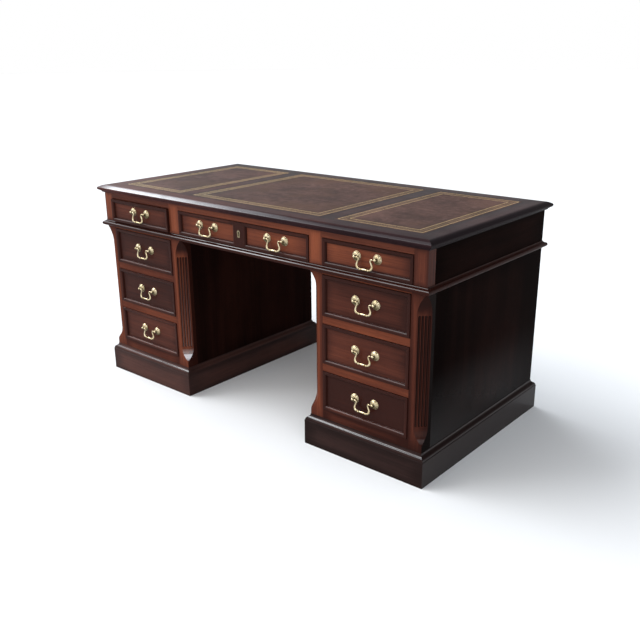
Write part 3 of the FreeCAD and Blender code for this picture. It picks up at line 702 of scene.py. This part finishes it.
def writingLeathers():
    # a point lies at a distance in from the edge and a share of the way along its side; near the edge, the
    # distance and the drop below the top follow a quarter circle
    _, _, _, low, high = shells(frame["nodes"]["writing_leathers"].data)
    edge, steps = hideShape["edgeRound"], hideShape["sideSteps"]
    bend = np.linspace(0, math.pi / 2, hideShape["edgeSteps"])
    flats = [hideShape["flatFrom"], hideShape["tooledWidth"]]
    inset = np.concatenate([[0.0], edge * (1 - np.cos(bend)), flats])
    share = np.linspace(0, 1, steps + 1)
    signs = np.array([[-1, -1], [1, -1], [1, 1], [-1, 1]])
    points, faces, runs, insets = [], [], [], []
    base = 0
    for lo, hi in zip(low, high):
        drop = np.concatenate([[hi[2] - lo[2]], edge * (1 - np.sin(bend)), [0.0, 0.0]])
        half, middle = (hi[:2] - lo[:2]) / 2, (hi[:2] + lo[:2]) / 2
        firsts = []
        for side in range(4):  # a mitred strip along each side, with its own run for the tooling
            ends = (half[None] - inset[:, None])[:, None, :] * signs[[side, (side + 1) % 4]][None]
            strip = ends[:, :1] + (ends[:, 1:] - ends[:, :1]) * share[None, :, None]
            height = np.broadcast_to((hi[2] - drop)[:, None, None], strip.shape[:2] + (1,))
            points.append(np.concatenate([strip + middle, height], 2).reshape(-1, 3))
            runs.append((strip[..., side % 2] * (1 if side < 2 else -1)).ravel())
            insets.append(np.broadcast_to(inset[:, None], strip.shape[:2]).ravel())
            faces += (gridFaces(len(inset), steps + 1, False) + base).tolist()
            firsts.append(base)
            base += len(inset) * (steps + 1)
        innermost = (len(inset) - 1) * (steps + 1)
        faces.append([first + innermost + k for first in firsts for k in range(steps)])
        faces.append([first + k for first in firsts for k in range(steps)][::-1])
    piece = newPiece("tooled_leathers", np.concatenate(points), faces, finishes["hide"],
                     "carcass", "writing_leathers")
    putAttribute(piece.data, "tooling", "FLOAT", np.concatenate(runs))
    putAttribute(piece.data, "inset", "FLOAT", np.concatenate(insets))
    closeUp(piece, merge=None)  # the strips keep their own points, as each has its own run


writingLeathers()
print("leathers: laid and tooled")

# handles: a turned rosette and knob at each end, and a swan-neck bail between them, in metres and degrees
handle = dict(
    spacing=0.076, cadWire=0.0023, wire=0.0026, bar=0.0033, back=0.0030, thicken=(0.2, 0.6),
    pin=0.00165, pinDepth=0.004, pinPlay=0.0003, pinBlend=2, gap=0.0005, knob=0.0062, shoulder=0.0045,
    neckRadius=0.005, neckRun=0.0105, bowRadius=0.012, turn=115.0,
    swells=((0.62, 0.10, 0.0007), (1.0, 0.12, -0.0003), (0.79, 0.028, 0.0007)),  # place, width, height
    grooves=((0.725, 0.018, -0.0006), (0.855, 0.018, -0.0006)),
    # underside: painted shade on brass that looks down, by how far it looks down
    shelter=0.55, shelterFall=1.6, grooveShelter=0.7, underside=((-0.6, 0.40), (0.95, 0.0)),
    wireSides=20, pinSteps=6, neckSteps=16, runSteps=5, bowSteps=20, barSteps=32)

# rosette: base, rolled rim, dome with a turned groove, neck and ball, as radii and heights from the drawer
rosette = dict(
    base=0.0155, rim=(0.0147, 0.0007), rimRoll=0.0008, rimTurn=(-60, 110), rimSteps=10,
    dome=0.0143, domeFoot=0.0012, domeRise=0.0068, domeTurn=(3.0, 70.0), domeSteps=40,
    grooveAt=36.0, grooveWidth=5.0, groove=0.0006, neckRun=(0.2, 0.8), neckSteps=4,
    ball=0.0050, ballHeight=0.0128, ballRise=0.0046, ballTurn=(-40, 80), ballSteps=16, sides=36,
    baseShelter=0.7, rimShelter=0.05, domeShelter=(-0.3, 0.5), grooveShelter=0.5,
    neckShelter=(0.7, 0.9, 0.9, 0.8), ballShelter=(0.7, 0.15))  # how far each ring is out of a hand's way


def rosetteProfile():
    # rings of (radius, height): ellipse arcs joined end to end, with a bell curve cut out of the dome
    own = rosette
    rim = arc(own["rim"], own["rimRoll"], *own["rimTurn"], own["rimSteps"])
    angle = np.linspace(*own["domeTurn"], own["domeSteps"])
    cut = np.exp(-((angle - own["grooveAt"]) / own["grooveWidth"]) ** 2)
    across = (own["dome"] - own["groove"] * cut) * np.cos(np.radians(angle))
    rise = (own["domeRise"] - own["groove"] * cut) * np.sin(np.radians(angle))
    dome = np.column_stack([across, own["domeFoot"] + rise])
    turn = np.radians(np.linspace(*own["ballTurn"], own["ballSteps"]))
    ball = np.column_stack([own["ball"] * np.cos(turn), own["ballHeight"] + own["ballRise"] * np.sin(turn)])
    neck = dome[-1] + (ball[0] - dome[-1]) * np.linspace(*own["neckRun"], own["neckSteps"])[:, None]
    foot, tip = [[0.0, 0.0], [own["base"], 0.0]], [[0.0, own["ballHeight"] + own["ballRise"]]]
    domeShelter = np.abs(np.linspace(*own["domeShelter"], own["domeSteps"])) + own["grooveShelter"] * cut
    ballShelter = np.linspace(*own["ballShelter"], own["ballSteps"])
    shelter = [[own["baseShelter"]] * len(foot), [own["rimShelter"]] * len(rim), domeShelter,
               own["neckShelter"], ballShelter, ballShelter[-1:]]
    return np.concatenate([foot, rim, dome, neck, ball, tip]), np.concatenate(shelter)


def turnedPosts(name, spots):
    # the profile carried round each spot: radius across, by cosine and sine of the turn, and height forwards
    path, shelter = rosetteProfile()
    sides = rosette["sides"]
    angle = roundAngles(sides)
    circle = np.column_stack([np.cos(angle), np.zeros(sides), np.sin(angle)])
    one = path[:, :1, None] * circle[None] + np.array([0, -1, 0])[None, None] * path[:, 1:, None]
    points = (one.reshape(1, -1, 3) + np.array(spots)[:, None, :]).reshape(-1, 3)
    ring = gridFaces(len(path), sides, True)
    faces = np.concatenate([ring + k * len(path) * sides for k in range(len(spots))])
    node = name + "_handle_posts"
    piece = newPiece(name + "_rosettes", points, faces, finishes["brass"], nodeBody[node], node)
    tarnish(piece, np.tile(np.repeat(shelter, sides), len(spots)))


def tarnish(piece, shelter):
    # brass that lies deep keeps its tarnish, and brass that looks down gets painted shade on top of it
    putAttribute(piece.data, "recess", "FLOAT", shelter)
    closeUp(piece)
    layer = piece.data.attributes["recess"]
    deep, looks = np.empty(len(layer.data), np.float32), np.empty(len(layer.data) * 3, np.float32)
    layer.data.foreach_get("value", deep)
    piece.data.vertex_normals.foreach_get("vector", looks)
    layer.data.foreach_set("value", np.clip(deep + np.interp(looks[2::3], *handle["underside"]), 0, 1))


def swanNeck():
    # centre line of half the bail from pin to middle, runs and arcs joined end to end, and then its mirror
    own, turn = handle, handle["turn"]
    start = own["spacing"] / 2 - own["knob"] - own["gap"]
    bendAt = start - own["shoulder"]
    neck = arc((bendAt, -own["neckRadius"]), own["neckRadius"], 90, 90 + turn, own["neckSteps"])
    away = np.radians(180 + turn)
    knee = neck[-1] + own["neckRun"] * np.array([np.cos(away), np.sin(away)])
    side = away - math.pi / 2
    centre = knee + own["bowRadius"] * np.array([np.cos(side), np.sin(side)])
    bow = arc(centre, own["bowRadius"], turn - 90, -90, own["bowSteps"])
    tip, steps = start + own["pinDepth"] - own["pinPlay"], own["pinSteps"]
    pin = np.column_stack([np.linspace(tip, bendAt, steps + 1)[:-1], np.zeros(steps)])
    run = neck[-1] + (knee - neck[-1]) * np.linspace(0, 1, own["runSteps"] + 1)[1:-1, None]
    along = np.linspace(bow[-1, 0], 0, own["barSteps"] + 1)[1:]
    bar = np.column_stack([along, np.full(len(along), bow[-1, 1])])
    half = np.concatenate([pin, neck, run, bow, bar])
    return np.concatenate([half, half[-2::-1] * [-1, 1]])


def bells(share, marks):  # sum of bell curves along the bail, each with its place, width and height
    return sum(height * np.exp(-((share - place) / width) ** 2) for place, width, height in marks)


def bail(node):
    # a circle carried along the centre line; its radius grows to the bar's, with beads and grooves as bells
    own = handle
    lo, hi = (np.array(corner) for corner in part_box(node))
    pivot = np.array([(lo[0] + hi[0]) / 2, (lo[1] + hi[1]) / 2, hi[2] - own["cadWire"]])
    line = swanNeck()
    ahead = np.gradient(line, axis=0)
    ahead /= np.linalg.norm(ahead, axis=1)[:, None]
    normal = np.column_stack([-ahead[:, 1], ahead[:, 0]])
    step = np.concatenate([[0], np.cumsum(np.linalg.norm(np.diff(line, axis=0), axis=1))])
    share = np.minimum(step, step[-1] - step)
    share /= share.max()  # 0 at a pin, 1 in the middle of the bar
    girth = np.interp(share, own["thicken"], (own["wire"], own["bar"]))
    girth += bells(share, own["swells"] + own["grooves"])
    count = np.arange(len(line))
    inPost = np.minimum(count, count[::-1]) < own["pinSteps"] - own["pinBlend"]
    girth = np.where(inPost, own["pin"], girth)
    girth[[0, -1]] = 0.0
    forward = np.maximum(girth - own["back"], 0.0)  # a level back stays clear of the drawer
    angle = roundAngles(own["wireSides"])
    across = normal[:, None, :] * (girth[:, None] * np.cos(angle))[..., None]
    depth = girth[:, None] * np.sin(angle) - forward[:, None]
    points = np.stack([line[:, None, 0] + across[..., 0], depth, line[:, None, 1] + across[..., 1]], -1)
    faces = gridFaces(len(line), len(angle), True)
    piece = newPiece(node + "_swan_neck", points.reshape(-1, 3) + pivot, faces, finishes["brass"],
                     nodeBody[node], node)
    shelter = np.clip(own["shelter"] - share * own["shelterFall"], 0, 1)
    shelter += bells(share, [(place, width, own["grooveShelter"]) for place, width, _ in own["grooves"]])
    tarnish(piece, np.repeat(shelter, len(angle)))
    return pivot


for posts in [node for node in nodeBody if node.endswith("_handle_posts")]:
    name = posts.removesuffix("_handle_posts")
    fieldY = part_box(posts)[1][1]
    spots = []
    for node in [node for node in nodeBody if node.startswith(name) and node.endswith("_bail")]:
        pivot = bail(node)
        spots += [[pivot[0] + side * handle["spacing"] / 2, fieldY, pivot[2]] for side in (-1, 1)]
    turnedPosts(name, spots)
print("handles: rosettes turned and bails bent")

# lock furniture: the pierced plate with eased edges, and behind it a dark sheet painted as the keyhole's
# shadow
keyhole = dict(
    radius=0.0032, slot=0.0015, shoulder=40.0, head=0.0070, depth=0.0002, rimSteps=25, easing=0.00035,
    dark=(0.004, 0.0025, 0.002), dust=(0.016, 0.011, 0.008), sheen=0.05,
    dustNoise=((700.0, 700.0, 700.0), 4.0, 0.55), dustBand=(0.4, 0.7), dustRough=0.3, roughness=0.7,
    reliefDepth=0.0001, relief=0.5)


def keyholeFinish():
    shadow = Finish("keyholeShadow", {"Specular IOR Level": keyhole["sheen"]})
    dust = shadow.noise(shadow.place(), *keyhole["dustNoise"])
    shadow.wear({"Base Color": dust.ramp(*keyhole["dustBand"]).tint(keyhole["dark"], keyhole["dust"]),
                 "Roughness": dust * keyhole["dustRough"] + keyhole["roughness"],
                 "Normal": shadow.bump(dust, keyhole["reliefDepth"], keyhole["relief"])})
    return shadow.material


def lockFurniture():
    # the keyhole is an arc with two straight legs, carried back by its depth
    plate = "keyhole_escutcheon"
    easedBoards(plate, "lockBrass", keyhole["easing"], "brass")
    for name in ("drawer_lock", "lock_bolt"):
        for slot in frame["nodes"][name].material_slots:
            slot.material = finishes["lockBrass"]
    lo, hi = (np.array(corner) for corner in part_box(plate))
    head, foot = hi[2] - keyhole["head"], lo[2] + keyhole["head"] - keyhole["radius"]
    below = keyhole["shoulder"]
    rim = arc((0.0, head), keyhole["radius"], -below, 180 + below, keyhole["rimSteps"])
    outline = np.concatenate([[[keyhole["slot"], foot]], rim, [[-keyhole["slot"], foot]]])
    count = len(outline)
    depths = np.repeat([hi[1] - keyhole["depth"], hi[1]], count)
    points = np.column_stack([np.tile(outline[:, 0], 2), depths, np.tile(outline[:, 1], 2)])
    caps = [list(range(count)), list(range(2 * count - 1, count - 1, -1))]
    faces = gridFaces(2, count, True).tolist() + caps
    closeUp(newPiece("keyhole_shadow", points, faces, keyholeFinish(), nodeBody[plate],
                     smooth=False))


lockFurniture()
print("lock: plate and keyhole set")

# studio: a pale floor, and a room that is white low down and dim overhead
studio = dict(
    floor=(0.90, 0.90, 0.90), floorRough=0.9, floorSheen=0.1, floorRings=(0.0, 3.0, 9.0, 40.0),
    floorSides=48, low=(1.0, 1.0, 1.0), overhead=(0.20, 0.21, 0.23), rise=(0.20, 0.50), lampAway=6.0)

# wide soft lights, each with the direction that it shines from and its width in degrees
lamps = dict(
    left=dict(toward=(-0.72, -0.29, 0.63), spread=44.0, power=2.4, colour=(0.95, 0.975, 1.0)),
    front=dict(toward=(-0.30, -0.74, 0.60), spread=45.0, power=0.7, colour=(1.0, 0.98, 0.95)),
    window=dict(toward=(-0.88, 0.25, 0.40), spread=40.0, power=1.35, colour=(0.88, 0.94, 1.0)),
    ceiling=dict(toward=(-0.50, 0.05, 0.86), spread=36.0, power=0.6, colour=(0.86, 0.93, 1.0)),
    camera=dict(toward=(0.473, -0.630, 0.616), spread=30.0, power=0.55, colour=(0.86, 0.93, 1.0)),
    right=dict(toward=(0.70, -0.30, 0.65), spread=22.0, power=0.30, colour=(0.95, 0.975, 1.0)))


def paleFloor():
    # a round of rings, each point at its ring's radius and its own angle
    angle = roundAngles(studio["floorSides"])
    circle = np.column_stack([np.cos(angle), np.sin(angle), np.zeros(len(angle))])
    points = np.concatenate([radius * circle for radius in studio["floorRings"]])
    mesh = bpy.data.meshes.new("studio_floor")
    mesh.from_pydata(points.tolist(), [], gridFaces(len(studio["floorRings"]), len(angle), True).tolist())
    paper = Finish("floorPaper", {"Base Color": studio["floor"], "Roughness": studio["floorRough"],
                                  "Specular IOR Level": studio["floorSheen"]})
    mesh.materials.append(paper.material)
    floor = linked("studio_floor", mesh)
    closeUp(floor)


def studioRoom():
    world = bpy.context.scene.world or bpy.data.worlds.new("room")
    bpy.context.scene.world = world
    world.use_nodes = True
    room = Graph(world.node_tree)
    upward = room.part(room.node("ShaderNodeTexCoord", {}, {}), "Z").ramp(*studio["rise"])
    background = world.node_tree.nodes["Background"]
    room.feed(background.inputs["Color"], upward.tint(studio["low"], studio["overhead"]))


def stand(item, axes, place):  # turns an object by its three axes and puts it in its place
    matrix = np.eye(4)
    matrix[:3, :3], matrix[:3, 3] = np.column_stack(axes), place
    item.matrix_world = Matrix(matrix.tolist())


def softLight(name, lamp):  # a distant light as wide as a softbox
    data = bpy.data.lights.new(name, "SUN")
    data.angle, data.energy, data.color = math.radians(lamp["spread"]), lamp["power"], lamp["colour"]
    back = np.array(lamp["toward"]) / np.linalg.norm(lamp["toward"])
    side = np.cross([0, 0, 1], back)
    side /= np.linalg.norm(side)
    stand(linked(name, data), [side, np.cross(back, side), back], back * studio["lampAway"])


# camera: the photograph's own stand, found from the desk's edges; focal length and picture width in pixels
view = dict(place=(1.8690, -2.1405, 1.2613), azimuth=40.44, elevation=19.22, roll=-0.48,
            focalPixels=787.8, picture=640.0, sensor=36.0)


def photoCamera():
    azimuth, elevation, roll = (math.radians(view[key]) for key in ("azimuth", "elevation", "roll"))
    flat = np.array([-math.sin(azimuth), math.cos(azimuth), 0.0])
    ahead = flat * math.cos(elevation) - np.array([0.0, 0.0, math.sin(elevation)])
    right = np.array([math.cos(azimuth), math.sin(azimuth), 0.0])
    up = np.cross(right, ahead)
    turned = math.cos(roll) * right + math.sin(roll) * up
    raised = math.cos(roll) * up - math.sin(roll) * right
    data = bpy.data.cameras.new("photo_camera")
    data.sensor_fit, data.sensor_width = "HORIZONTAL", view["sensor"]
    data.lens = view["focalPixels"] / view["picture"] * view["sensor"]
    camera = linked("photo_camera", data)
    stand(camera, [turned, raised, -ahead], view["place"])
    bpy.context.scene.camera = camera


paleFloor()
studioRoom()
for side, lamp in lamps.items():
    softLight(side + "_light", lamp)
photoCamera()
bpy.context.scene.view_settings.view_transform = "Standard"
print("studio: lights and camera up")
